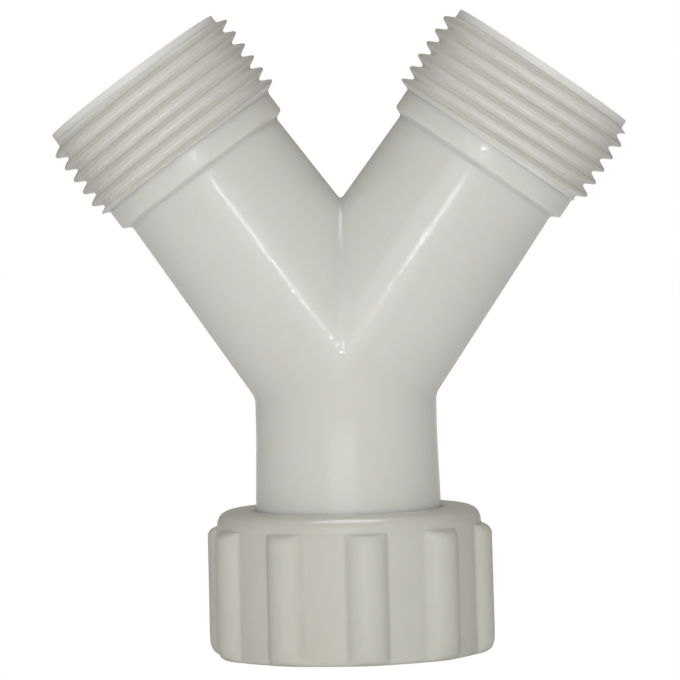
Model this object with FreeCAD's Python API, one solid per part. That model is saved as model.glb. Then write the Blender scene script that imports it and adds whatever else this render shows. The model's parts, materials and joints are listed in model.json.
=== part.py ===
"""Double hose connector: a moulded Y body that splits one hose thread into two.

The Y body has one inlet stem and two outlets with male hose threads. A ribbed coupling nut turns
freely on the stem, held by a flange inside it, and clamps a sealing washer onto the tap's thread.
The origin is the centre of the nut's lower face, +Z runs up the stem and the outlets lie in XZ.
All sizes are in millimetres and degrees.
"""

import FreeCAD
import Part
import math
import os

# Three-quarter inch parallel pipe thread, drawn here as plain cylinders at its crests and roots
THREAD_CREST_D = 26.44
THREAD_ROOT_D = 24.12
THREAD_PLAY = 0.10

# Y body: water way through the outlets
OUTLET_BORE_D = 16.0

# Y body: outlets, measured along each axis from the junction
OUTLET_ANGLE = 35.5
OUTLET_LENGTH = 42.8
OUTLET_THREAD_LENGTH = 10.0
NOSE_LENGTH = 1.0
COLLAR_LENGTH = 3.1
COLLAR_D = 23.9
COLLAR_CHAMFER = 0.5
OUTLET_NECK_D = 21.8
OUTLET_ROOT_D = 23.1

# Y body: inlet stem, from the flange inside the nut up to the junction
STEM_FREE_LENGTH = 17.95
STEM_FOOT_D = 22.4
STEM_WAIST_D = 21.9
STEM_FLARE_LENGTH = 8.0
STEM_BORE_D = 16.4
FLANGE_D = 24.6
FLANGE_THICKNESS = 2.4

# Coupling nut
NUT_HEIGHT = 17.8
NUT_TOP_THICKNESS = 3.0
NUT_TOP_D = 31.9
NUT_FOOT_D = 32.1
NUT_SHOULDER_RADIUS = 2.3
NUT_FOOT_CHAMFER = 0.5
NUT_MOUTH_CHAMFER = 0.5
SWIVEL_GAP = 0.3

# Grip ribs, half round, around the nut
RIB_COUNT = 10
RIB_HEIGHT = 1.5
RIB_WIDTH = 5.0
RIB_TOP_DROP = 1.4
RIB_TOP_CHAMFER = 0.8
RIB_FOOT_CHAMFER = 1.5
FIRST_RIB_ANGLE = 8.0

# Sealing washer under the flange
WASHER_D = 24.0
WASHER_HOLE_D = 16.0
WASHER_THICKNESS = 3.0

ORIGIN = FreeCAD.Vector(0, 0, 0)
ACROSS = FreeCAD.Vector(1, 0, 0)
ALONG_VIEW = FreeCAD.Vector(0, 1, 0)
UP = FreeCAD.Vector(0, 0, 1)

# Levels that follow from the sizes above, from the junction down to the end of the nut's thread
junction_z = NUT_HEIGHT + STEM_FREE_LENGTH
nut_ceiling_z = NUT_HEIGHT - NUT_TOP_THICKNESS
flange_top_z = nut_ceiling_z - SWIVEL_GAP
flange_foot_z = flange_top_z - FLANGE_THICKNESS
washer_foot_z = flange_foot_z - WASHER_THICKNESS
nut_thread_end_z = washer_foot_z - SWIVEL_GAP

# Radii inside the nut: the thread, the chamber for flange and washer, the hole around the stem
nut_bore_r = THREAD_CREST_D / 2 + THREAD_PLAY
chamber_r = max(FLANGE_D, WASHER_D) / 2 + SWIVEL_GAP
swivel_hole_r = STEM_FOOT_D / 2 + SWIVEL_GAP


def turned(points, ball_r=0):
    """Solid of revolution about Z from a closed outline of (radius, height) corners.

    With a ball radius, the outline starts on a half ball under the origin that ends at the first
    corner, so a tube turned with it has a round inner end.
    """
    corners = [FreeCAD.Vector(radius, 0, height) for radius, height in points]
    edges = []
    if ball_r:
        pole = FreeCAD.Vector(0, 0, -ball_r)
        middle = FreeCAD.Vector(ball_r * math.sin(math.pi / 4), 0, -ball_r * math.cos(math.pi / 4))
        edges.append(Part.Arc(pole, middle, corners[0]).toShape())
        corners.append(pole)
    else:
        corners.append(corners[0])
    for start, end in zip(corners, corners[1:]):
        edges.append(Part.makeLine(start, end))
    return Part.Face(Part.Wire(edges)).revolve(ORIGIN, UP, 360)


def ring_edges(shape, radius, height):
    """The full-circle edges of a turned shape that have this radius and height."""
    found = []
    for edge in shape.Edges:
        if edge.Degenerated or not isinstance(edge.Curve, Part.Circle):
            continue
        circle = edge.Curve
        if abs(circle.Radius - radius) < 1e-4 and abs(circle.Center.z - height) < 1e-4:
            found.append(edge)
    return found


def both_outlets(outlet):
    """Lean an outlet that stands on the origin to the left of the junction and add its mirror image.

    Each one is cut off at the middle plane, so the two halves meet there face to face.
    """
    leaning = outlet.copy()
    leaning.rotate(ORIGIN, ALONG_VIEW, -OUTLET_ANGLE)
    leaning.translate(FreeCAD.Vector(0, 0, junction_z))
    reach = 4 * OUTLET_LENGTH
    left_side = Part.makeBox(reach, 2 * reach, 2 * reach, FreeCAD.Vector(-reach, -reach, -reach))
    left_side.translate(FreeCAD.Vector(0, 0, junction_z))
    left = leaning.common(left_side)
    right = left.mirror(ORIGIN, ACROSS)
    return left.fuse(right)


def outlet_outside():
    """Outer form of one outlet: round inner end, tapered tube, collar, thread and nose."""
    nose_z = OUTLET_LENGTH - NOSE_LENGTH
    thread_z = nose_z - OUTLET_THREAD_LENGTH
    collar_z = thread_z - COLLAR_LENGTH
    root_r = THREAD_ROOT_D / 2
    crest_r = THREAD_CREST_D / 2
    collar_r = COLLAR_D / 2
    # a slope over half the thread's depth stands for its start and its run-out
    slope = (crest_r - root_r) / 2
    return turned([
        (OUTLET_ROOT_D / 2, 0),
        (OUTLET_NECK_D / 2, collar_z - COLLAR_CHAMFER),
        (collar_r, collar_z),
        (collar_r, thread_z),
        (crest_r, thread_z + slope),
        (crest_r, nose_z - slope),
        (root_r, nose_z),
        (root_r, OUTLET_LENGTH),
        (0, OUTLET_LENGTH),
    ], ball_r=OUTLET_ROOT_D / 2)


def outlet_bore():
    """Water way of one outlet, with a round inner end."""
    bore_r = OUTLET_BORE_D / 2
    return turned([
        (bore_r, 0),
        (bore_r, OUTLET_LENGTH),
        (0, OUTLET_LENGTH),
    ], ball_r=bore_r)


def stem_outside():
    """Outer form of the inlet: flange, journal in the nut's top, stem that flares to the outlets."""
    journal_r = STEM_FOOT_D / 2
    flange_r = FLANGE_D / 2
    waist_r = STEM_WAIST_D / 2
    # the flare opens two thirds of the way from the waist to the outlets' inner ends
    flare_r = waist_r + (OUTLET_ROOT_D / 2 - waist_r) * 2 / 3
    return turned([
        (0, flange_foot_z),
        (flange_r, flange_foot_z),
        (flange_r, flange_top_z),
        (journal_r, flange_top_z),
        (journal_r, NUT_HEIGHT),
        (waist_r, junction_z - STEM_FLARE_LENGTH),
        (flare_r, junction_z),
        (0, junction_z),
    ])


def make_y_body():
    """The whole moulding: flanged stem and two outlets around one branching water way."""
    outside = both_outlets(outlet_outside()).fuse(stem_outside()).removeSplitter()
    stem_bore = Part.makeCylinder(STEM_BORE_D / 2, junction_z - flange_foot_z,
                                  FreeCAD.Vector(0, 0, flange_foot_z))
    water_way = both_outlets(outlet_bore()).fuse(stem_bore)
    return outside.cut(water_way)


def make_rib():
    """One half-round grip rib at angle zero, chamfered at its top and its foot."""
    outer_top_r = NUT_TOP_D / 2 + RIB_HEIGHT
    outer_foot_r = NUT_FOOT_D / 2 + RIB_HEIGHT
    top_z = NUT_HEIGHT - RIB_TOP_DROP
    # both end slopes of the envelope run on past the rib's crest, so only they cut the bar
    envelope = turned([
        (0, 0),
        (outer_foot_r - RIB_FOOT_CHAMFER, 0),
        (outer_foot_r + RIB_HEIGHT, RIB_FOOT_CHAMFER + RIB_HEIGHT),
        (outer_top_r + RIB_HEIGHT, top_z - RIB_TOP_CHAMFER - RIB_HEIGHT),
        (outer_top_r - RIB_TOP_CHAMFER, top_z),
        (0, top_z),
    ])
    # circle through the rib's crest and both its sides where they meet the nut
    round_r = (RIB_HEIGHT ** 2 + (RIB_WIDTH / 2) ** 2) / (2 * RIB_HEIGHT)
    bar = Part.makeCylinder(round_r, 2 * top_z, FreeCAD.Vector(0, 0, -top_z / 2))
    # half a turn keeps the seams of both round shapes off the rib's crest
    envelope.rotate(ORIGIN, UP, 180)
    bar.rotate(ORIGIN, UP, 180)
    lean = math.degrees(math.atan2(outer_foot_r - outer_top_r, top_z))
    bar.rotate(ORIGIN, ALONG_VIEW, -lean)
    bar.translate(FreeCAD.Vector(outer_foot_r - round_r, 0, 0))
    return bar.common(envelope)


def make_coupling_nut():
    """Ribbed nut: tapered skirt with a rounded shoulder, hollow for thread, flange and stem."""
    top_r = NUT_TOP_D / 2
    foot_r = NUT_FOOT_D / 2
    skirt = turned([
        (0, 0),
        (foot_r - NUT_FOOT_CHAMFER, 0),
        (foot_r, NUT_FOOT_CHAMFER),
        (top_r, NUT_HEIGHT),
        (0, NUT_HEIGHT),
    ])
    skirt = skirt.makeFillet(NUT_SHOULDER_RADIUS, ring_edges(skirt, top_r, NUT_HEIGHT))
    ribs = []
    for number in range(RIB_COUNT):
        rib = make_rib()
        rib.rotate(ORIGIN, UP, FIRST_RIB_ANGLE - 90 + number * 360 / RIB_COUNT)
        ribs.append(rib)
    hollow = turned([
        (0, 0),
        (nut_bore_r + NUT_MOUTH_CHAMFER, 0),
        (nut_bore_r, NUT_MOUTH_CHAMFER),
        (nut_bore_r, nut_thread_end_z),
        (chamber_r, nut_thread_end_z),
        (chamber_r, nut_ceiling_z),
        (swivel_hole_r, nut_ceiling_z),
        (swivel_hole_r, NUT_HEIGHT),
        (0, NUT_HEIGHT),
    ])
    return skirt.fuse(ribs).removeSplitter().cut(hollow)


def make_sealing_washer():
    """Flat rubber ring that seats face to face under the flange."""
    foot = FreeCAD.Vector(0, 0, washer_foot_z)
    ring = Part.makeCylinder(WASHER_D / 2, WASHER_THICKNESS, foot)
    return ring.cut(Part.makeCylinder(WASHER_HOLE_D / 2, WASHER_THICKNESS, foot))


os.makedirs("parts", exist_ok=True)
pieces = {
    "y_body": make_y_body(),
    "coupling_nut": make_coupling_nut(),
    "sealing_washer": make_sealing_washer(),
}
for name, solid in pieces.items():
    solid.exportStep(f"parts/{name}.step")
    box = solid.BoundBox
    print(f"{name}: {len(solid.Solids)} solid, valid {solid.isValid()}, {solid.Volume:.0f} mm3, "
          f"x {box.XMin:.2f}..{box.XMax:.2f}, y {box.YMin:.2f}..{box.YMax:.2f}, "
          f"z {box.ZMin:.2f}..{box.ZMax:.2f}")
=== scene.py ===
# %% [markdown]
# # Double hose connector
#
# This white plastic fitting splits one garden tap into two hoses. It comes apart into three pieces: a
# hollow Y moulding, a ribbed coupling nut that turns on the Y's stem, and a rubber washer inside the nut.
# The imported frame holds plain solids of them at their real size. This lesson dresses each one with the
# surface that the eye expects: real thread turns, soft moulded corners, grip ribs that melt into the nut,
# and plastic that isn't flat.

# %% Load the frame and keep its box
import json
import math

import bmesh
import bpy
import numpy as np
from mathutils import Matrix, Vector


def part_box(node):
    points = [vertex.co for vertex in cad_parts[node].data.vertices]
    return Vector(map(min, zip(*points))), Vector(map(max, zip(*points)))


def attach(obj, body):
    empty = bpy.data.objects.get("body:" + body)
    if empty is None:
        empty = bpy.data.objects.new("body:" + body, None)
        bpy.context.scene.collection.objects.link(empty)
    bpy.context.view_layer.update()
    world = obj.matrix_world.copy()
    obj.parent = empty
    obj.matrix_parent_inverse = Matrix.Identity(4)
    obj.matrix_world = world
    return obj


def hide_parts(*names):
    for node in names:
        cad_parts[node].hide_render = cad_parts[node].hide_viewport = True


MM = 0.001
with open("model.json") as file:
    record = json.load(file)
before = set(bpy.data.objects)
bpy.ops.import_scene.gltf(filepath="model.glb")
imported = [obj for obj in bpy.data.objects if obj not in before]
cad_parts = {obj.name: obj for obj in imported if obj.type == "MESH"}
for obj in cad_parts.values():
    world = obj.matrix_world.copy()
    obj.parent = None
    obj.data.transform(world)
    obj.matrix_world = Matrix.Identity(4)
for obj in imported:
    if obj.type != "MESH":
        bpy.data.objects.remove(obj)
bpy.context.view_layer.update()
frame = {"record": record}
mounts = {mount["name"]: mount for mount in frame["record"]["mounts"]}

# %% [markdown]
# ## Camera, floor and light
#
# The photograph looks at the Y from straight ahead, a little above the nut and from about 0.6 metres away,
# so a long lens is right. The camera is also rolled by a degree and a half, because the Y leans a little in
# the picture. The light is that of a small flash beside the lens in a bright room. A small lamp at the lens
# draws the thin light lines down the tubes, and a wider glow around it lights the front but leaves no mirror
# image. A beam lifts the stem and the nut. A lamp above shows only as gloss, mostly on the nut's shoulder,
# and large soft panels in a pale warm surround keep the shadows faint. Floor and background are plain white.

# %% Camera at the photograph's place
IMAGE_SIDE = 680
CAMERA_PLACE = Vector((8.7, -600.0, 60.8)) * MM
CAMERA_YAW = math.radians(-0.88)
CAMERA_PITCH = math.radians(2.17)
CAMERA_ROLL = math.radians(-1.46)
FOCAL_PIXELS = 4965.0

camera_data = bpy.data.cameras.new("camera")
camera_data.sensor_width = 36.0
camera_data.lens = camera_data.sensor_width * FOCAL_PIXELS / IMAGE_SIDE
camera_data.clip_start = 0.01
camera = bpy.data.objects.new("camera", camera_data)
bpy.context.scene.collection.objects.link(camera)
bpy.context.scene.camera = camera
forward = Vector((math.sin(CAMERA_YAW) * math.cos(CAMERA_PITCH),
                  math.cos(CAMERA_YAW) * math.cos(CAMERA_PITCH),
                  -math.sin(CAMERA_PITCH)))
turn = forward.to_track_quat("-Z", "Y").to_matrix().to_4x4()
camera.matrix_world = Matrix.Translation(CAMERA_PLACE) @ turn @ Matrix.Rotation(CAMERA_ROLL, 4, "Z")
print("lens", round(camera_data.lens, 1), "mm")

# %% Floor and surround
FLOOR_SIDE = 4.0
FLOOR_DROP = 0.05
FLOOR_TONE = (0.9, 0.9, 0.9, 1.0)
FLOOR_GLOW = 1.01
GLOW_SHARE = 0.16
GLOW_SHARE_FOR_CAMERA = 0.82
SURROUND_LIGHT = 0.325
SURROUND_TINT = (1.0, 0.955, 0.875, 1.0)


def stage_material():
    """Pale floor that reads as white to the camera and takes a faint shadow."""
    material = bpy.data.materials.new("pale_floor")
    material.use_nodes = True
    nodes, links = material.node_tree.nodes, material.node_tree.links
    nodes.clear()
    matt = nodes.new("ShaderNodeBsdfDiffuse")
    matt.inputs["Color"].default_value = FLOOR_TONE
    glow = nodes.new("ShaderNodeEmission")
    glow.inputs["Strength"].default_value = FLOOR_GLOW
    rays = nodes.new("ShaderNodeLightPath")
    share = nodes.new("ShaderNodeMath")
    share.operation = "MULTIPLY_ADD"
    share.inputs[1].default_value = GLOW_SHARE_FOR_CAMERA
    share.inputs[2].default_value = GLOW_SHARE
    mix = nodes.new("ShaderNodeMixShader")
    output = nodes.new("ShaderNodeOutputMaterial")
    links.new(rays.outputs["Is Camera Ray"], share.inputs[0])
    links.new(share.outputs[0], mix.inputs["Fac"])
    links.new(matt.outputs[0], mix.inputs[1])
    links.new(glow.outputs[0], mix.inputs[2])
    links.new(mix.outputs[0], output.inputs["Surface"])
    return material


floor_mesh = bpy.data.meshes.new("floor")
half = FLOOR_SIDE / 2
floor_corners = [(-half, -half, 0), (half, -half, 0), (half, half, 0), (-half, half, 0)]
floor_mesh.from_pydata(floor_corners, [], [(0, 1, 2, 3)])
floor = bpy.data.objects.new("floor", floor_mesh)
floor_mesh.materials.append(stage_material())
bpy.context.scene.collection.objects.link(floor)
floor.location.z = -FLOOR_DROP * MM

world = bpy.data.worlds.new("surround")
world.use_nodes = True
bpy.context.scene.world = world
nodes, links = world.node_tree.nodes, world.node_tree.links
nodes.clear()
room = nodes.new("ShaderNodeBackground")
room.inputs["Color"].default_value = SURROUND_TINT
room.inputs["Strength"].default_value = SURROUND_LIGHT
backdrop = nodes.new("ShaderNodeBackground")
backdrop.inputs["Color"].default_value = (1.0, 1.0, 1.0, 1.0)
backdrop.inputs["Strength"].default_value = 1.0
rays = nodes.new("ShaderNodeLightPath")
mix = nodes.new("ShaderNodeMixShader")
output = nodes.new("ShaderNodeOutputWorld")
links.new(rays.outputs["Is Camera Ray"], mix.inputs["Fac"])
links.new(room.outputs[0], mix.inputs[1])
links.new(backdrop.outputs[0], mix.inputs[2])
links.new(mix.outputs[0], output.inputs["Surface"])
print("surround at", SURROUND_LIGHT, "with the backdrop at", backdrop.inputs["Strength"].default_value)

# %% Lamps


def lamp(name, kind, place, target, watts, mirrored=True):
    """A lamp at a place in mm that looks at a target in mm. One that isn't mirrored leaves no highlight."""
    data = bpy.data.lights.new(name, kind)
    data.energy = watts
    holder = bpy.data.objects.new(name, data)
    bpy.context.scene.collection.objects.link(holder)
    holder.location = Vector(place) * MM
    holder.rotation_euler = (Vector(target) - Vector(place)).to_track_quat("-Z", "Y").to_euler()
    holder.visible_glossy = mirrored
    return holder


def panel(name, place, target, side, watts, mirrored=True):
    """A square lamp with this side in mm."""
    square = lamp(name, "AREA", place, target, watts, mirrored)
    square.data.size = side * MM
    return square


panel("flash", (0, -590, 95), (0, 0, 42), 20, 0.09)
panel("flash_glow", (-10, -595, 60), (0, 0, 36), 160, 1.2, mirrored=False)
ceiling = panel("ceiling", (0, -20, 420), (0, 0, 17), 280, 1.0)
ceiling.data.color = (0.86, 0.95, 1.0)
ceiling.visible_diffuse = False
panel("soft_front", (-40, -500, 100), (0, 0, 22), 320, 0.47)
panel("soft_top", (80, 60, 520), (0, 0, 40), 420, 0.25)
beam = lamp("flash_beam", "SPOT", (0, -560, 70), (-3, 0, 19), 0.8, mirrored=False).data
beam.spot_size = math.radians(7.5)
beam.spot_blend = 1.0
beam.shadow_soft_size = 20 * MM
panel("soft_back", (60, 520, 260), (0, 0, 40), 420, 0.5, mirrored=False)
bpy.context.scene.view_settings.view_transform = "Standard"

# %% [markdown]
# ## Plastic and rubber
#
# Moulded plastic is never one flat colour. Under a flash it shows a fine unevenness that breaks a highlight
# into specks, a slow waviness from shrinking in the mould, and a faint cloudiness where light travels into
# it. All of these are the same effect at different sizes, so one shader group makes them, and each material
# places it with its own values. The group only gives out a height and a tone: the gloss itself stays in the
# material. The Y's gloss has two parts, a sharp one on the uneven surface, which draws the thin light lines,
# and a blurred coat over it, which gives the soft light beside them.

# %% Shader group: uneven moulded surface


def group_socket(tree, name, kind, value=None, way="INPUT"):
    """Add a named socket to a node group."""
    socket = tree.interface.new_socket(name=name, in_out=way, socket_type=kind)
    if value is not None:
        socket.default_value = value


def moulded_surface_group():
    """Group that gives the height of fine and slow unevenness and the tone of faint clouds."""
    tree = bpy.data.node_groups.new("moulded_surface", "ShaderNodeTree")
    group_socket(tree, "Grain Scale", "NodeSocketFloat", 1500.0)
    group_socket(tree, "Grain", "NodeSocketFloat", 0.5)
    group_socket(tree, "Wave Scale", "NodeSocketFloat", 60.0)
    group_socket(tree, "Wave", "NodeSocketFloat", 0.5)
    group_socket(tree, "Cloud Scale", "NodeSocketFloat", 35.0)
    group_socket(tree, "Height", "NodeSocketFloat", way="OUTPUT")
    group_socket(tree, "Tone", "NodeSocketFloat", way="OUTPUT")
    nodes, links = tree.nodes, tree.links
    given = nodes.new("NodeGroupInput")
    place = nodes.new("ShaderNodeTexCoord")
    result = nodes.new("NodeGroupOutput")
    heights = []
    for scale_name, share_name, detail in (("Grain Scale", "Grain", 3.0), ("Wave Scale", "Wave", 1.0)):
        noise = nodes.new("ShaderNodeTexNoise")
        noise.inputs["Detail"].default_value = detail
        links.new(place.outputs["Object"], noise.inputs["Vector"])
        links.new(given.outputs[scale_name], noise.inputs["Scale"])
        part = nodes.new("ShaderNodeMath")
        part.operation = "MULTIPLY"
        links.new(noise.outputs["Fac"], part.inputs[0])
        links.new(given.outputs[share_name], part.inputs[1])
        heights.append(part.outputs[0])
    total = nodes.new("ShaderNodeMath")
    links.new(heights[0], total.inputs[0])
    links.new(heights[1], total.inputs[1])
    links.new(total.outputs[0], result.inputs["Height"])
    cloud = nodes.new("ShaderNodeTexNoise")
    cloud.inputs["Detail"].default_value = 4.0
    links.new(place.outputs["Object"], cloud.inputs["Vector"])
    links.new(given.outputs["Cloud Scale"], cloud.inputs["Scale"])
    links.new(cloud.outputs["Fac"], result.inputs["Tone"])
    return tree


moulded_surface = moulded_surface_group()
given_out = [item.name for item in moulded_surface.interface.items_tree if item.in_out == "OUTPUT"]
print("the moulded surface group gives out", given_out)

# %% Materials for the Y, its threads, the nut and the washer
SCATTER_SHARES = (1.0, 0.9, 0.75)
CLOUD_DARK_AT = 0.3
CLOUD_LIGHT_AT = 0.7


def fill_ramp(ramp, tones):
    """Set the stops of a colour ramp from (place, tone) pairs."""
    while len(ramp.color_ramp.elements) < len(tones):
        ramp.color_ramp.elements.new(0.5)
    for element, (at, tone) in zip(ramp.color_ramp.elements, tones):
        element.position = at
        element.color = (*tone, 1.0)


def plastic(name, light_tone, dark_tone, roughness, values, bump, depth, specular=0.5,
            subsurface=0.0, scatter=1.0, coat=0.0, coat_roughness=0.1):
    """Principled material whose colour and height come from the moulded surface group, with lengths in mm."""
    material = bpy.data.materials.new(name)
    material.use_nodes = True
    nodes, links = material.node_tree.nodes, material.node_tree.links
    shader = nodes["Principled BSDF"]
    shader.inputs["Roughness"].default_value = roughness
    shader.inputs["Specular IOR Level"].default_value = specular
    shader.inputs["Subsurface Weight"].default_value = subsurface
    shader.inputs["Subsurface Radius"].default_value = SCATTER_SHARES
    shader.inputs["Subsurface Scale"].default_value = scatter * MM
    shader.inputs["Coat Weight"].default_value = coat
    shader.inputs["Coat Roughness"].default_value = coat_roughness
    surface = nodes.new("ShaderNodeGroup")
    surface.node_tree = moulded_surface
    for socket, value in values.items():
        surface.inputs[socket].default_value = value
    tones = nodes.new("ShaderNodeValToRGB")
    fill_ramp(tones, ((CLOUD_DARK_AT, dark_tone), (CLOUD_LIGHT_AT, light_tone)))
    uneven = nodes.new("ShaderNodeBump")
    uneven.inputs["Strength"].default_value = bump
    uneven.inputs["Distance"].default_value = depth * MM
    links.new(surface.outputs["Height"], uneven.inputs["Height"])
    links.new(uneven.outputs["Normal"], shader.inputs["Normal"])
    links.new(surface.outputs["Tone"], tones.inputs["Fac"])
    links.new(tones.outputs["Color"], shader.inputs["Base Color"])
    return material


glossy_white = plastic(
    "glossy_white_plastic", (0.695, 0.70, 0.67), (0.665, 0.665, 0.63), roughness=0.12,
    values={"Grain Scale": 1400.0, "Grain": 0.5, "Wave Scale": 90.0, "Wave": 1.0, "Cloud Scale": 40.0},
    bump=0.6, depth=0.09, specular=0.3, subsurface=0.8, scatter=2.5, coat=0.45, coat_roughness=0.4)
# Lighter copy of the Y's plastic for threads and noses: painted light to make up for shade in the grooves
painted_light_thread_white = plastic(
    "thread_white_plastic", (0.86, 0.855, 0.825), (0.83, 0.82, 0.79), roughness=0.3,
    values={"Grain Scale": 1400.0, "Grain": 0.5, "Wave Scale": 90.0, "Wave": 0.2, "Cloud Scale": 40.0},
    bump=0.3, depth=0.02, specular=0.25, subsurface=0.5, scatter=1.1, coat=0.3, coat_roughness=0.4)
matt_white = plastic(
    "matt_white_plastic", (0.60, 0.60, 0.55), (0.565, 0.56, 0.505), roughness=0.5,
    values={"Grain Scale": 2200.0, "Grain": 1.0, "Wave Scale": 120.0, "Wave": 0.5, "Cloud Scale": 70.0},
    bump=0.3, depth=0.04, specular=0.4, subsurface=0.3, coat=0.15, coat_roughness=0.18)
black_rubber = plastic(
    "black_rubber", (0.035, 0.035, 0.036), (0.02, 0.02, 0.021), roughness=0.7,
    values={"Grain Scale": 3000.0, "Grain": 1.0, "Wave Scale": 200.0, "Wave": 0.5, "Cloud Scale": 120.0},
    bump=0.4, depth=0.03)
print("materials:", glossy_white.name, painted_light_thread_white.name, matt_white.name, black_rubber.name)

# %% [markdown]
# ## Helpers for turned shapes
#
# Nearly every surface here is round about some axis: a tube, a collar, a nut, a washer. An outline with soft
# corners, carried round the axis in rings, makes all of them, just as a mould maker turns the cavity on a
# lathe. The corners get a small curve in the outline itself, because a moulded edge is never knife sharp and
# only a rounded edge catches a line of light.

# %% Outlines, rings and meshes
MERGE_DISTANCE = 0.0005


def soft_outline(corners, steps=4):
    """Points along an outline of (x, y, cut) corners. A corner is rounded from cut before it to cut after."""
    points = []
    for index, (x, y, cut) in enumerate(corners):
        here = np.array((x, y), dtype=float)
        if not cut:
            points.append(here)
            continue
        before = np.array(corners[index - 1][:2], dtype=float) - here
        after = np.array(corners[(index + 1) % len(corners)][:2], dtype=float) - here
        start = here + before / np.linalg.norm(before) * cut
        end = here + after / np.linalg.norm(after) * cut
        for t in np.linspace(0, 1, steps + 1):
            points.append((1 - t) ** 2 * start + 2 * t * (1 - t) * here + t ** 2 * end)
    return np.array(points)


def filled(points, longest):
    """The same outline with extra points, so that no stretch is longer than this."""
    rows = [points[0]]
    for start, end in zip(points, points[1:]):
        count = max(1, math.ceil(np.linalg.norm(end - start) / longest))
        rows.extend(start + (end - start) * step / count for step in range(1, count + 1))
    return np.array(rows)


def turned_rings(outline, columns):
    """Rings of points about Z from an outline of (radius, height) points."""
    around = np.arange(columns) * 2 * math.pi / columns
    radius, height = outline[:, :1], outline[:, 1:]
    return np.stack([radius * np.cos(around), radius * np.sin(around), height + 0 * around], axis=2)


def sheet_faces(rows, columns, start=0, closed=False):
    """Quads between neighbouring rings of points, and from the last ring to the first where it is closed."""
    faces = []
    for row in range(rows if closed else rows - 1):
        lower = start + row * columns
        upper = start + (row + 1) % rows * columns
        for column in range(columns):
            beside = (column + 1) % columns
            faces.append((lower + column, lower + beside, upper + beside, upper + column))
    return faces


def closed_mesh(name, points, faces, material):
    """Object from points in mm whose doubles are merged and whose faces look outwards."""
    mesh = bpy.data.meshes.new(name)
    mesh.from_pydata((np.reshape(points, (-1, 3)) * MM).tolist(), [], faces)
    shell = bmesh.new()
    shell.from_mesh(mesh)
    bmesh.ops.remove_doubles(shell, verts=shell.verts, dist=MERGE_DISTANCE * MM)
    bmesh.ops.recalc_face_normals(shell, faces=shell.faces)
    open_edges = sum(1 for edge in shell.edges if not edge.is_manifold)
    shell.to_mesh(mesh)
    shell.free()
    mesh.shade_smooth()
    mesh.materials.append(material)
    piece = bpy.data.objects.new(name, mesh)
    bpy.context.scene.collection.objects.link(piece)
    print(name, len(mesh.polygons), "faces,", open_edges, "open edges")
    return piece


# %% [markdown]
# ## Y moulding
#
# The two outlets and the stem are three tubes that run into one another. A boolean would leave long thin
# faces at the joint, and they spoil a glossy highlight. So the skin is laid out as three sheets of clean
# quads: each outlet's sheet starts on the line where it meets its neighbours, and the sheets share the
# points on that line. Where two sheets meet at an angle, the rows beside the line follow a small curve, which
# is the rounding that a mould maker leaves in the crotch and at the elbows. It is narrow in the crotch and
# wider down the crease. The same recipe with other radii makes the water way.

# %% Sizes of the Y moulding, in mm
COLUMNS = 128
left_thread = mounts["left_outlet_thread"]
outlet_axis = np.array(left_thread["axis"])
outlet_side = np.array((outlet_axis[2], 0.0, -outlet_axis[0]))
thread_middle = np.array(left_thread["pos_m"]) / MM
JUNCTION_Z = thread_middle[2] - thread_middle[0] / outlet_axis[0] * outlet_axis[2]
MOUTH = (np.array(mounts["left_outlet_mouth"]["pos_m"]) / MM - (0, 0, JUNCTION_Z)) @ outlet_axis
CREST_R = left_thread["dims"]["r_mm"]
THREAD_DEPTH = 1.16
ROOT_R = CREST_R - THREAD_DEPTH
NOSE = 1.0
THREAD_LENGTH = 10.0
COLLAR_LENGTH = 3.1
COLLAR_R = 11.95
NECK_R = 10.9
BELLY_R = 11.55
WAIST_R = 10.95
SIDE_R = 11.0
WAIST_Z = JUNCTION_Z - 8.0
INNER_WAIST_Z = WAIST_Z - 4.0
BORE_R = mounts["left_water_way"]["dims"]["r_mm"]
STEM_BORE_R = 8.2
CROTCH_CUT = 0.7
CREASE_CUT = 1.8
INNER_CUT = 0.5
THREAD_END = MOUTH - NOSE
THREAD_START = THREAD_END - THREAD_LENGTH
COLLAR_START = THREAD_START - COLLAR_LENGTH
nut_top_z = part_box("coupling_nut")[1][2] / MM
stem_foot_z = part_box("y_body")[0][2] / MM
print("junction at", round(JUNCTION_Z, 2), "mouths at", round(MOUTH, 2), "along the outlets")

# %% Where the three sheets meet
around = np.arange(COLUMNS) * 2 * math.pi / COLUMNS
cosine, sine = np.cos(around), np.sin(around)
twin_column = (COLUMNS // 2 - np.arange(COLUMNS)) % COLUMNS
MIRROR = np.array((-1.0, 1.0, 1.0))
SIDE_FADE = 0.3


def outlet_points(along, radius):
    """Points on the left outlet, one for each column, at a place along its axis and a distance from it."""
    along, radius = np.broadcast_to(along, COLUMNS), np.broadcast_to(radius, COLUMNS)
    ring = along[:, None] * outlet_axis + (radius * cosine)[:, None] * outlet_side
    return ring + np.stack([0 * sine, radius * sine, 0 * sine + JUNCTION_Z], axis=1)


def eased(t):
    """Ease from 0 to 1 with a flat start and end."""
    t = np.clip(t, 0, 1)
    return t * t * (3 - 2 * t)


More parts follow.
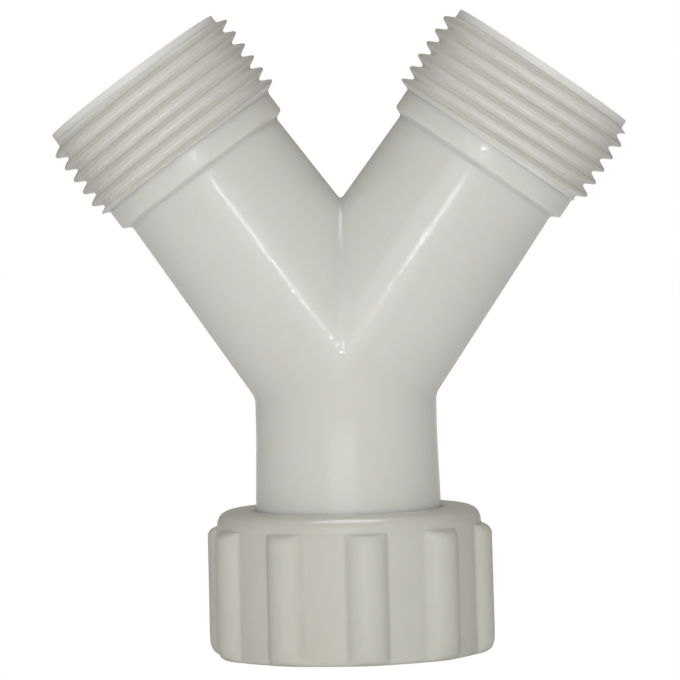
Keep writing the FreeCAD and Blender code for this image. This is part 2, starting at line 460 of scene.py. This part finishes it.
def joint_rows(belly_r, neck_r, neck_at, side_r, waist_r, waist_z, reach, cut, rows=12, bend=5):
    """Rows of an outlet's sheet and of the stem's sheet, both from their shared line outwards.

    The outlet tapers from belly_r to neck_r. The stem is side_r wide where its sides meet the outlets and
    changes to waist_r at waist_z. The outlet's rows end at reach along its axis. The rounding beside the line
    is cut wide, which may differ from column to column, and fades out over SIDE_FADE towards the sides.
    """
    taper = (belly_r - neck_r) / neck_at
    sin, cos = -outlet_axis[0], outlet_axis[2]
    drop = (belly_r - cos * side_r) / sin
    elbow = sin * side_r - cos * drop
    crease = cos * cosine * belly_r / (sin + cos * cosine * taper)
    start = np.where(cosine > 0, crease, -elbow * cosine)

    def on_outlet(along):
        return outlet_points(along, belly_r - taper * along)

    seam = on_outlet(start)
    stem_seam = np.where(cosine[:, None] > 0, seam[twin_column] * MIRROR, seam)
    waist = np.stack([waist_r * cosine, waist_r * sine, 0 * sine + waist_z], axis=1)

    def on_stem(t):
        t = np.broadcast_to(t, COLUMNS)[:, None]
        ring = stem_seam + (waist - stem_seam) * eased(t)
        ring[:, 2] = (stem_seam + (waist - stem_seam) * t)[:, 2]
        return ring

    outlet_near = on_outlet(start + cut)
    stem_cut = cut / (stem_seam[:, 2] - waist_z)
    stem_near = on_stem(stem_cut)
    beyond_outlet = np.where(cosine[:, None] > 0, outlet_near * MIRROR, stem_near)
    beyond_stem = np.where(cosine[:, None] > 0, outlet_near[twin_column] * MIRROR, outlet_near)
    rounding = eased(np.abs(cosine) / SIDE_FADE)[:, None]

    def rounded(own, line, other, straight, t):
        curve = (1 - t) ** 2 * other + 2 * t * (1 - t) * line + t ** 2 * own
        return curve * rounding + straight * (1 - rounding)

    outlet_rows, stem_rows = [], []
    for t in np.linspace(0.5, 1, bend):
        away = 2 * t - 1
        outlet_rows.append(rounded(outlet_near, seam, beyond_outlet, on_outlet(start + cut * away), t))
        stem_rows.append(rounded(stem_near, stem_seam, beyond_stem, on_stem(stem_cut * away), t))
    for t in np.linspace(0, 1, rows + 1)[1:]:
        outlet_rows.append(on_outlet((start + cut) * (1 - t) + reach * t))
        stem_rows.append(on_stem(stem_cut * (1 - t) + t))
    return np.array(outlet_rows), np.array(stem_rows)


OUTER_REACH = 18.0
INNER_REACH = 14.0
outer_cut = CROTCH_CUT + (CREASE_CUT - CROTCH_CUT) * sine ** 2
outside_outlet, outside_stem = joint_rows(BELLY_R, NECK_R, COLLAR_START, SIDE_R, WAIST_R, WAIST_Z,
                                          OUTER_REACH, outer_cut)
inside_outlet, inside_stem = joint_rows(BORE_R, BORE_R, COLLAR_START, BORE_R, STEM_BORE_R, INNER_WAIST_Z,
                                        INNER_REACH, INNER_CUT)
print("rows beside the joint:", len(outside_outlet), "outside,", len(inside_outlet), "inside")

# %% Rest of the outlets
ROW_GAP = 1.0
LONGEST_ROW = 3.0
COLLAR_SLOPE = 0.5
UNDER_THREAD_R = ROOT_R - 0.35
NOSE_R = ROOT_R - 0.02
first_along = OUTER_REACH + ROW_GAP
outlet_outline = filled(soft_outline([
    (first_along, BELLY_R - (BELLY_R - NECK_R) * first_along / COLLAR_START, 0),
    (COLLAR_START - COLLAR_SLOPE, NECK_R, 0.35),
    (COLLAR_START, COLLAR_R, 0.25),
    (THREAD_START, COLLAR_R, 0.12),
    (THREAD_START, UNDER_THREAD_R, 0),
    (THREAD_END, UNDER_THREAD_R, 0),
    (THREAD_END, NOSE_R, 0.05),
    (MOUTH, NOSE_R, 0.06),
    (MOUTH, BORE_R, 0.5),
    (INNER_REACH + ROW_GAP, BORE_R, 0),
]), LONGEST_ROW)
outlet_rows = [outlet_points(along, radius) for along, radius in outlet_outline]
outlet_sheet = np.concatenate([outside_outlet, outlet_rows, inside_outlet[::-1]])
print("outlet sheet:", len(outlet_sheet), "rows")

# %% Rest of the stem, and the whole shell
STEM_FOOT_R = 11.2
FLANGE_R = 12.3
NUT_ROOF = 3.0
PLAY = 0.3
flange_top_z = nut_top_z - NUT_ROOF - PLAY
stem_outline = filled(soft_outline([
    (WAIST_R, WAIST_Z - ROW_GAP, 0),
    (STEM_FOOT_R, nut_top_z, 0.6),
    (STEM_FOOT_R, flange_top_z, 0.2),
    (FLANGE_R, flange_top_z, 0.15),
    (FLANGE_R, stem_foot_z, 0.6),
    (STEM_BORE_R, stem_foot_z, 0.3),
    (STEM_BORE_R, INNER_WAIST_Z - ROW_GAP, 0),
]), LONGEST_ROW)
stem_sheet = np.concatenate([outside_stem, turned_rings(stem_outline, COLUMNS), inside_stem[::-1]])

half_turn = np.array((-1.0, -1.0, 1.0))
sheets = [outlet_sheet, outlet_sheet * half_turn, stem_sheet]
faces, start = [], 0
for sheet in sheets:
    faces += sheet_faces(len(sheet), COLUMNS, start)
    start += len(sheet) * COLUMNS
y_moulding = closed_mesh("y_moulding", np.concatenate(sheets), faces, glossy_white)

# The nose in front of each thread gets the threads' lighter copy of the plastic, with its painted light
NOSE_PAINTED_LIGHT_FROM = THREAD_END - 0.1
y_moulding.data.materials.append(painted_light_thread_white)
for polygon in y_moulding.data.polygons:
    from_junction = np.array(polygon.center) / MM - (0, 0, JUNCTION_Z)
    along = abs(from_junction[0] * outlet_axis[0]) + from_junction[2] * outlet_axis[2]
    polygon.material_index = int(along > NOSE_PAINTED_LIGHT_FROM)
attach(y_moulding, "y_piece")
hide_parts("y_body")

# %% [markdown]
# ## Threads
#
# A thread is the clearest case of a shape that follows a rule: the surface rises and falls with the distance
# along the axis, and that wave slides forward by one pitch in every turn. Geometry Nodes can say exactly
# that. A plain turned blank goes in, every point of its wall is moved out by the wave, and a threaded wall
# comes out. The flanks lean at 27.5 degrees and the crests and roots are rounded, as on a real pipe thread.
# The same tree makes the outlets' male threads and, with its height turned inwards, the nut's female one.

# %% Geometry Nodes tree: thread on a turned wall
PITCH = 1.814
FLANK_SLOPE = 1.5
FLANK_SHIFT = -0.25
ROOT_ROUNDING = 0.2
CREST_ROUNDING = 0.3
WALL_TOLERANCE = 0.02


def calc(tree, operation, *values):
    """Add a Math node. Each value is a number or another node's output."""
    node = tree.nodes.new("ShaderNodeMath")
    node.operation = operation
    for socket, value in zip(node.inputs, values):
        if isinstance(value, bpy.types.NodeSocket):
            tree.links.new(value, socket)
        else:
            socket.default_value = value
    return node.outputs[0]


def start_tree(name, sizes):
    """Geometry Nodes tree with a mesh, these floats and a material. Also gives radius, angle and height."""
    tree = bpy.data.node_groups.new(name, "GeometryNodeTree")
    tree.is_modifier = True
    group_socket(tree, "Geometry", "NodeSocketGeometry")
    for size in sizes:
        group_socket(tree, size, "NodeSocketFloat", 0.0)
    group_socket(tree, "Material", "NodeSocketMaterial")
    group_socket(tree, "Geometry", "NodeSocketGeometry", way="OUTPUT")
    given = tree.nodes.new("NodeGroupInput")
    position = tree.nodes.new("GeometryNodeInputPosition")
    parts = tree.nodes.new("ShaderNodeSeparateXYZ")
    tree.links.new(position.outputs[0], parts.inputs[0])
    x, y, z = parts.outputs
    radius = calc(tree, "SQRT", calc(tree, "ADD", calc(tree, "MULTIPLY", x, x), calc(tree, "MULTIPLY", y, y)))
    angle = calc(tree, "ARCTAN2", y, x)
    return tree, given.outputs, radius, angle, z


def finish_tree(tree, given, radius, new_radius, selection):
    """Move the selected points to their new radius and end the tree."""
    growth = calc(tree, "DIVIDE", new_radius, radius)
    stretch = tree.nodes.new("ShaderNodeCombineXYZ")
    tree.links.new(growth, stretch.inputs[0])
    tree.links.new(growth, stretch.inputs[1])
    stretch.inputs[2].default_value = 1.0
    position = tree.nodes.new("GeometryNodeInputPosition")
    target = tree.nodes.new("ShaderNodeVectorMath")
    target.operation = "MULTIPLY"
    tree.links.new(position.outputs[0], target.inputs[0])
    tree.links.new(stretch.outputs[0], target.inputs[1])
    move = tree.nodes.new("GeometryNodeSetPosition")
    realize = tree.nodes.new("GeometryNodeRealizeInstances")
    paint = tree.nodes.new("GeometryNodeSetMaterial")
    result = tree.nodes.new("NodeGroupOutput")
    tree.links.new(given["Geometry"], move.inputs["Geometry"])
    tree.links.new(selection, move.inputs["Selection"])
    tree.links.new(target.outputs[0], move.inputs["Position"])
    tree.links.new(move.outputs[0], realize.inputs[0])
    tree.links.new(realize.outputs[0], paint.inputs["Geometry"])
    tree.links.new(given["Material"], paint.inputs["Material"])
    tree.links.new(paint.outputs[0], result.inputs[0])


def thread_tree():
    """Raises the wall at Wall Radius by Rise in a helical wave between Start and End.

    The crest itself fades in after First Crest and out before Last Crest, which are heights on its own helix.
    """
    tree, given, radius, angle, z = start_tree("pipe_thread", (
        "Wall Radius", "Rise", "Pitch", "Start", "End", "Run Out", "Phase", "First Crest", "Last Crest",
        "Fade"))
    turns = calc(tree, "ADD", calc(tree, "DIVIDE", angle, 2 * math.pi), given["Phase"])
    phase = calc(tree, "SUBTRACT", calc(tree, "DIVIDE", z, given["Pitch"]), turns)
    triangle = calc(tree, "MULTIPLY", calc(tree, "PINGPONG", phase, 0.5), 2.0)
    sharp = calc(tree, "MULTIPLY_ADD", triangle, FLANK_SLOPE, FLANK_SHIFT)
    soft_root = calc(tree, "SMOOTH_MAX", sharp, 0.0, ROOT_ROUNDING)
    wave = calc(tree, "SMOOTH_MIN", soft_root, 1.0, CREST_ROUNDING)
    to_crest = calc(tree, "SUBTRACT", 0.5, calc(tree, "FRACT", phase))
    crest = calc(tree, "MULTIPLY_ADD", to_crest, given["Pitch"], z)
    after_first = calc(tree, "DIVIDE", calc(tree, "SUBTRACT", crest, given["First Crest"]), given["Fade"])
    before_last = calc(tree, "DIVIDE", calc(tree, "SUBTRACT", given["Last Crest"], crest), given["Fade"])
    fade = calc(tree, "MAXIMUM", calc(tree, "MINIMUM", after_first, before_last), 0.0)
    crested = calc(tree, "MULTIPLY", wave, calc(tree, "MINIMUM", fade, 1.0))
    from_start = calc(tree, "DIVIDE", calc(tree, "SUBTRACT", z, given["Start"]), given["Run Out"])
    from_end = calc(tree, "DIVIDE", calc(tree, "SUBTRACT", given["End"], z), given["Run Out"])
    room = calc(tree, "MAXIMUM", calc(tree, "MINIMUM", from_start, from_end), 0.0)
    height = calc(tree, "MULTIPLY", calc(tree, "MINIMUM", crested, room), given["Rise"])
    off_wall = calc(tree, "ABSOLUTE", calc(tree, "SUBTRACT", radius, given["Wall Radius"]))
    on_wall = calc(tree, "LESS_THAN", off_wall, WALL_TOLERANCE * MM)
    finish_tree(tree, given, radius, calc(tree, "ADD", radius, height), on_wall)
    return tree


def shaped(piece, tree, values, material):
    """Run a tree on an object with these inputs, keep the result as its plain mesh and drop the modifier."""
    modifier = piece.modifiers.new(tree.name, "NODES")
    modifier.node_group = tree
    keys = {item.name: item.identifier for item in tree.interface.items_tree
            if item.item_type == "SOCKET" and item.in_out == "INPUT"}
    for name, value in values.items():
        modifier[keys[name]] = value
    modifier[keys["Material"]] = material
    shown = piece.evaluated_get(bpy.context.evaluated_depsgraph_get())
    mesh = bpy.data.meshes.new_from_object(shown)
    piece.modifiers.remove(modifier)
    mesh.name = piece.name
    piece.data = mesh
    mesh.shade_smooth()
    print(piece.name, "after", tree.name, len(mesh.polygons), "faces")


thread_nodes = thread_tree()

# %% [markdown]
# ## Painted light and shade on the threads
#
# On the real threads the light lines lie in the roots: the plastic between two turns faces the flash and
# gathers light from both flanks, while the crests look greyer. This light and shade is painted into the
# threads' colour: painted lighter in the roots and painted darker towards the crests. It follows the distance
# from the outlet's axis, so a group measures this distance from Object coordinates and gives it as a rise
# from root to crest, and a ramp turns the rise into painted light and shade for the threads' white.

# %% Painted light and shade between a thread's root and its crest
# Colour factors from root (0) to crest (1): painted light near the roots, painted shade towards the crests
THREAD_PAINTED_LIGHT_TONES = (
    (0.0, (0.89, 0.89, 0.885)),
    (0.5, (1.0, 0.995, 0.985)),
    (0.8, (0.75, 0.745, 0.73)),
    (1.0, (0.58, 0.575, 0.56)),
)


# Mask for the painted light and shade on the threads.
def outlet_rise_group():
    """Group that gives how far a point of either outlet rises from its root to its crest, from 0 to 1."""
    tree = bpy.data.node_groups.new("outlet_rise", "ShaderNodeTree")
    group_socket(tree, "Low", "NodeSocketFloat", ROOT_R * MM)
    group_socket(tree, "High", "NodeSocketFloat", CREST_R * MM)
    group_socket(tree, "Rise", "NodeSocketFloat", way="OUTPUT")
    nodes, links = tree.nodes, tree.links
    given = nodes.new("NodeGroupInput")
    result = nodes.new("NodeGroupOutput")
    place = nodes.new("ShaderNodeTexCoord")
    vector = place.outputs["Object"]
    junction = (0.0, 0.0, JUNCTION_Z * MM)
    one_axis = np.abs(outlet_axis)
    for operation, value in (("SUBTRACT", junction), ("ABSOLUTE", None), ("CROSS_PRODUCT", one_axis)):
        node = nodes.new("ShaderNodeVectorMath")
        node.operation = operation
        links.new(vector, node.inputs[0])
        if value is not None:
            node.inputs[1].default_value = value
        vector = node.outputs["Vector"]
    distance = nodes.new("ShaderNodeVectorMath")
    distance.operation = "LENGTH"
    links.new(vector, distance.inputs[0])
    share = nodes.new("ShaderNodeMapRange")
    links.new(distance.outputs["Value"], share.inputs["Value"])
    links.new(given.outputs["Low"], share.inputs["From Min"])
    links.new(given.outputs["High"], share.inputs["From Max"])
    links.new(share.outputs["Result"], result.inputs["Rise"])
    return tree


def paint_thread_light_and_shade(material, tones):
    """Multiply a material's colour by painted light in a thread's roots and painted shade towards its crest.
    """
    nodes, links = material.node_tree.nodes, material.node_tree.links
    rise = nodes.new("ShaderNodeGroup")
    rise.node_tree = outlet_rise_group()
    ramp = nodes.new("ShaderNodeValToRGB")
    ramp.color_ramp.interpolation = "B_SPLINE"
    fill_ramp(ramp, tones)
    mix = nodes.new("ShaderNodeMix")
    mix.data_type = "RGBA"
    mix.blend_type = "MULTIPLY"
    base = nodes["Principled BSDF"].inputs["Base Color"]
    links.new(base.links[0].from_socket, mix.inputs["A"])
    mix.inputs["Factor"].default_value = 1.0
    links.new(rise.outputs["Rise"], ramp.inputs["Fac"])
    links.new(ramp.outputs["Color"], mix.inputs["B"])
    links.new(mix.outputs["Result"], base)


# Paints light into the threads' roots and shade onto their crests, through their colour.
paint_thread_light_and_shade(painted_light_thread_white, THREAD_PAINTED_LIGHT_TONES)
print("thread tones between", round(ROOT_R, 2), "and", round(CREST_R, 2), "mm off the outlet's axis")

# %% Blanks for threads, and where they go
THREAD_COLUMNS = 240
ROWS_PER_TURN = 24
RUN_OUT = 0.45
CREST_FADE = 0.5


def thread_blank(name, wall_r, back_r, low, high, material):
    """Turned ring between two levels, with fine rows on its wall for the thread tree to move."""
    wall = filled(np.array([(wall_r, low), (wall_r, high)]), PITCH / ROWS_PER_TURN)
    outline = np.concatenate([wall, [(back_r, high), (back_r, low)]])
    faces = sheet_faces(len(outline), THREAD_COLUMNS, closed=True)
    return closed_mesh(name, turned_rings(outline, THREAD_COLUMNS), faces, material)


def threaded(blank, wall_r, rise, low, high, phase, first_crest, last_crest, material):
    """Raise a blank's wall into a thread between two levels. Lengths are in mm and the phase in turns."""
    shaped(blank, thread_nodes, {
        "Wall Radius": wall_r * MM, "Rise": rise * MM, "Pitch": PITCH * MM, "Start": low * MM,
        "End": high * MM, "Run Out": RUN_OUT * MM, "Phase": phase, "First Crest": first_crest * MM,
        "Last Crest": last_crest * MM, "Fade": CREST_FADE * MM}, material)


def place_piece(piece, columns, origin):
    """Carry a piece made about Z to an axis. Columns are its new X, Y and Z directions, origin is in mm."""
    place = Matrix([(*row, 0.0) for row in np.array(columns).T.tolist()] + [(0.0, 0.0, 0.0, 1.0)])
    place.translation = Vector(origin) * MM
    piece.data.transform(place)
    piece.data.update()


# %% Male threads on both outlets
OVER_COLLAR = 0.5
SINK = 0.05
BLANK_BACK_R = UNDER_THREAD_R - 0.1
male_low = THREAD_START - OVER_COLLAR
across = np.array((0.0, 1.0, 0.0))

# Side, phase of the turns and place of the last crest along the outlet
male_threads = {"left_outlet_thread": (1, 0.27, 42.0), "right_outlet_thread": (-1, 1.04, 42.2)}
for name, (side, phase, last_crest) in male_threads.items():
    male = thread_blank(name, ROOT_R, BLANK_BACK_R, male_low - SINK, THREAD_END + SINK, painted_light_thread_white)
    threaded(male, ROOT_R, THREAD_DEPTH, male_low, THREAD_END, phase, male_low - CREST_FADE, last_crest,
             painted_light_thread_white)
    turn_about_z = np.array((side, side, 1.0))
    directions = [outlet_side * turn_about_z, across * turn_about_z, outlet_axis * turn_about_z]
    place_piece(male, directions, (0, 0, JUNCTION_Z))
    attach(male, "y_piece")

# %% [markdown]
# ## Coupling nut
#
# The nut is turned too: a skirt with a rounded shoulder on the outside, and a threaded bore, a chamber and a
# hole for the stem on the inside. Its ten grip ribs repeat around it, so they are a job for Geometry Nodes
# again. The tree takes the turned nut and moves its outer wall out under each rib, along a round profile that
# fades into the skirt, so ribs and skirt stay one skin with no cut lines between them.

# %% Geometry Nodes tree: grip ribs on a turned nut


def quarter_round(tree, level, edge, rounding, sign):
    """Rises from 0 at an edge to 1 at a rounding's length inside it, like a quarter of a circle."""
    inside = calc(tree, "MULTIPLY", calc(tree, "SUBTRACT", level, edge), sign)
    share = calc(tree, "MINIMUM", calc(tree, "MAXIMUM", calc(tree, "DIVIDE", inside, rounding), 0.0), 1.0)
    rest = calc(tree, "SUBTRACT", 1.0, share)
    return calc(tree, "SQRT", calc(tree, "SUBTRACT", 1.0, calc(tree, "MULTIPLY", rest, rest)))


def rib_tree():
    """Moves the outer wall out in evenly spaced round ribs between the nut's foot and Top."""
    tree, given, radius, angle, z = start_tree(
        "grip_ribs", ("Count", "Height", "Width", "First Angle", "Top", "Top Rounding", "Foot Rounding",
                      "Foot Share", "Wall Starts At", "Blend"))
    sector = calc(tree, "DIVIDE", 2 * math.pi, given["Count"])
    turns = calc(tree, "DIVIDE", calc(tree, "SUBTRACT", angle, given["First Angle"]), sector)
    off_rib = calc(tree, "MULTIPLY", calc(tree, "SUBTRACT", turns, calc(tree, "ROUND", turns)), sector)
    aside = calc(tree, "MULTIPLY", off_rib, radius)
    half_width = calc(tree, "MULTIPLY", given["Width"], 0.5)
    squares = calc(tree, "ADD", calc(tree, "MULTIPLY", given["Height"], given["Height"]),
                   calc(tree, "MULTIPLY", half_width, half_width))
    round_r = calc(tree, "DIVIDE", squares, calc(tree, "MULTIPLY", given["Height"], 2.0))
    aside_square = calc(tree, "MULTIPLY", aside, aside)
    under = calc(tree, "SUBTRACT", calc(tree, "MULTIPLY", round_r, round_r), aside_square)
    bulge = calc(tree, "SUBTRACT", calc(tree, "SQRT", calc(tree, "MAXIMUM", under, 0.0)),
                 calc(tree, "SUBTRACT", round_r, given["Height"]))
    top = quarter_round(tree, z, given["Top"], given["Top Rounding"], -1.0)
    foot = quarter_round(tree, z, 0.0, given["Foot Rounding"], 1.0)
    foot = calc(tree, "ADD", given["Foot Share"],
                calc(tree, "MULTIPLY", foot, calc(tree, "SUBTRACT", 1.0, given["Foot Share"])))
    raised = calc(tree, "MULTIPLY", bulge, calc(tree, "MULTIPLY", top, foot))
    growth = calc(tree, "SMOOTH_MAX", raised, 0.0, given["Blend"])
    on_wall = calc(tree, "GREATER_THAN", radius, given["Wall Starts At"])
    finish_tree(tree, given, radius, calc(tree, "ADD", radius, growth), on_wall)
    return tree


rib_nodes = rib_tree()

# %% Sizes of the nut, in mm
NUT_COLUMNS = 480
NUT_FOOT_R = 16.05
NUT_TOP_R = 15.95
SHOULDER_CUT = 2.1
NUT_MOUTH_R = mounts["inlet_thread"]["dims"]["r_mm"]
NUT_MOUTH_CHAMFER = 0.5
NUT_BORE_R = NUT_MOUTH_R + 0.15
CHAMBER_R = 12.6
SWIVEL_R = 11.5
RIB_COUNT = 10
RIB_HEIGHT = 1.5
RIB_WIDTH = 5.0
RIB_TOP_Z = nut_top_z - 2.1
RIB_TOP_ROUNDING = 1.2
RIB_FOOT_ROUNDING = 2.2
RIB_FOOT_SHARE = 0.05
RIB_BLEND = 0.25
FIRST_RIB_ANGLE = math.radians(8.0 - 90.0)
OUTER_WALL_R = NUT_FOOT_R - 0.65
washer_low, washer_high = (corner[2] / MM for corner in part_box("sealing_washer"))
ceiling_z = nut_top_z - NUT_ROOF
nut_thread_top_z = washer_low - PLAY
print("ribs up to", round(RIB_TOP_Z, 2), "and the nut's thread up to", round(nut_thread_top_z, 2), "mm")

# %% Turned nut with its ribs
nut_outline = soft_outline([
    (NUT_MOUTH_R + NUT_MOUTH_CHAMFER, 0.0, 0.2),
    (NUT_FOOT_R, 0.0, 0.8),
    (NUT_TOP_R, nut_top_z, SHOULDER_CUT),
    (SWIVEL_R, nut_top_z, 0.8),
    (SWIVEL_R, ceiling_z, 0.15),
    (CHAMBER_R, ceiling_z, 0.3),
    (CHAMBER_R, nut_thread_top_z, 0.15),
    (NUT_BORE_R, nut_thread_top_z, 0.15),
    (NUT_BORE_R, NUT_MOUTH_CHAMFER, 0.0),
    (NUT_MOUTH_R, NUT_MOUTH_CHAMFER, 0.0),
], steps=8)
FOOT_ROWS_END = 1.6
TOP_ROWS_START = RIB_TOP_Z - 1.3
TOP_ROWS_END = RIB_TOP_Z + 0.3
LEVEL_MARGIN = 0.01
rib_levels = np.concatenate([
    np.arange(0, FOOT_ROWS_END, 0.12),
    np.arange(FOOT_ROWS_END, TOP_ROWS_START, 1.2),
    np.arange(TOP_ROWS_START, TOP_ROWS_END, 0.06),
])


def rib_rows(outline):
    """Extra rows on the outer wall where the ribs start and end, so their rounded ends are smooth."""
    rows = [outline[0]]
    for start, end in zip(outline, outline[1:]):
        if min(start[0], end[0]) > NUT_TOP_R - 0.6 and abs(end[1] - start[1]) > 2 * LEVEL_MARGIN:
            low, high = start[1] + LEVEL_MARGIN, end[1] - LEVEL_MARGIN
            for level in rib_levels[(rib_levels > low) & (rib_levels < high)]:
                share = (level - start[1]) / (end[1] - start[1])
                rows.append(start + (end - start) * share)
        rows.append(end)
    return np.array(rows)


nut_rows = rib_rows(nut_outline)
coupling_nut = closed_mesh("ribbed_nut", turned_rings(nut_rows, NUT_COLUMNS),
                           sheet_faces(len(nut_rows), NUT_COLUMNS, closed=True), matt_white)
shaped(coupling_nut, rib_nodes, {
    "Count": float(RIB_COUNT), "Height": RIB_HEIGHT * MM, "Width": RIB_WIDTH * MM,
    "First Angle": FIRST_RIB_ANGLE, "Top": RIB_TOP_Z * MM, "Top Rounding": RIB_TOP_ROUNDING * MM,
    "Foot Rounding": RIB_FOOT_ROUNDING * MM, "Foot Share": RIB_FOOT_SHARE,
    "Wall Starts At": OUTER_WALL_R * MM, "Blend": RIB_BLEND * MM}, matt_white)
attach(coupling_nut, "nut")
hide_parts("coupling_nut")

# %% Female thread inside the nut
END_MARGIN = 0.1
NUT_THREAD_PHASE = 0.5
female_low = NUT_MOUTH_CHAMFER + END_MARGIN
female = thread_blank("nut_thread", NUT_MOUTH_R, NUT_BORE_R + 0.3, NUT_MOUTH_CHAMFER, nut_thread_top_z,
                      matt_white)
threaded(female, NUT_MOUTH_R, -THREAD_DEPTH, female_low, nut_thread_top_z - END_MARGIN, NUT_THREAD_PHASE,
         female_low, nut_thread_top_z - 2 * END_MARGIN, matt_white)
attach(female, "nut")

# %% [markdown]
# ## Gloss on the nut's shoulder
#
# The nut's wall and ribs are dull, but the rounded shoulder above them is smoother and shows a band of light
# under the stem. Both belong to one moulding, so they share one material, and its clear coat grows with the
# height in Object coordinates over a fraction of a millimetre just above the ribs.

# %% Coat that grows above the ribs
DULL_UP_TO = RIB_TOP_Z + 0.2
GLOSSY_FROM = RIB_TOP_Z + 0.8
SHOULDER_COAT = 1.0


def gloss_above(material, low, high, coat):
    """Let a material's coat grow to this weight between two levels in mm."""
    nodes, links = material.node_tree.nodes, material.node_tree.links
    place = nodes.new("ShaderNodeTexCoord")
    parts = nodes.new("ShaderNodeSeparateXYZ")
    level = nodes.new("ShaderNodeMapRange")
    weight = nodes["Principled BSDF"].inputs["Coat Weight"]
    level.inputs["From Min"].default_value = low * MM
    level.inputs["From Max"].default_value = high * MM
    level.inputs["To Min"].default_value = weight.default_value
    level.inputs["To Max"].default_value = coat
    links.new(place.outputs["Object"], parts.inputs[0])
    links.new(parts.outputs["Z"], level.inputs["Value"])
    links.new(level.outputs["Result"], weight)


gloss_above(matt_white, DULL_UP_TO, GLOSSY_FROM, SHOULDER_COAT)
print("coat grows between", round(DULL_UP_TO, 2), "and", round(GLOSSY_FROM, 2), "mm")

# %% [markdown]
# ## Sealing washer
#
# A rubber ring seats against the stem's flange. Only someone who looks up into the nut sees it, but its soft
# edges and dull black are what tells rubber from plastic there.

# %% Washer with soft edges
WASHER_R = 12.0
WASHER_HOLE_R = 8.0
WASHER_EDGE = 0.25
WASHER_COLUMNS = 96
washer_outline = soft_outline([
    (WASHER_HOLE_R, washer_low, WASHER_EDGE),
    (WASHER_R, washer_low, WASHER_EDGE),
    (WASHER_R, washer_high, WASHER_EDGE),
    (WASHER_HOLE_R, washer_high, WASHER_EDGE),
])
washer = closed_mesh("rubber_washer", turned_rings(washer_outline, WASHER_COLUMNS),
                     sheet_faces(len(washer_outline), WASHER_COLUMNS, closed=True), black_rubber)
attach(washer, "y_piece")
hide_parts("sealing_washer")
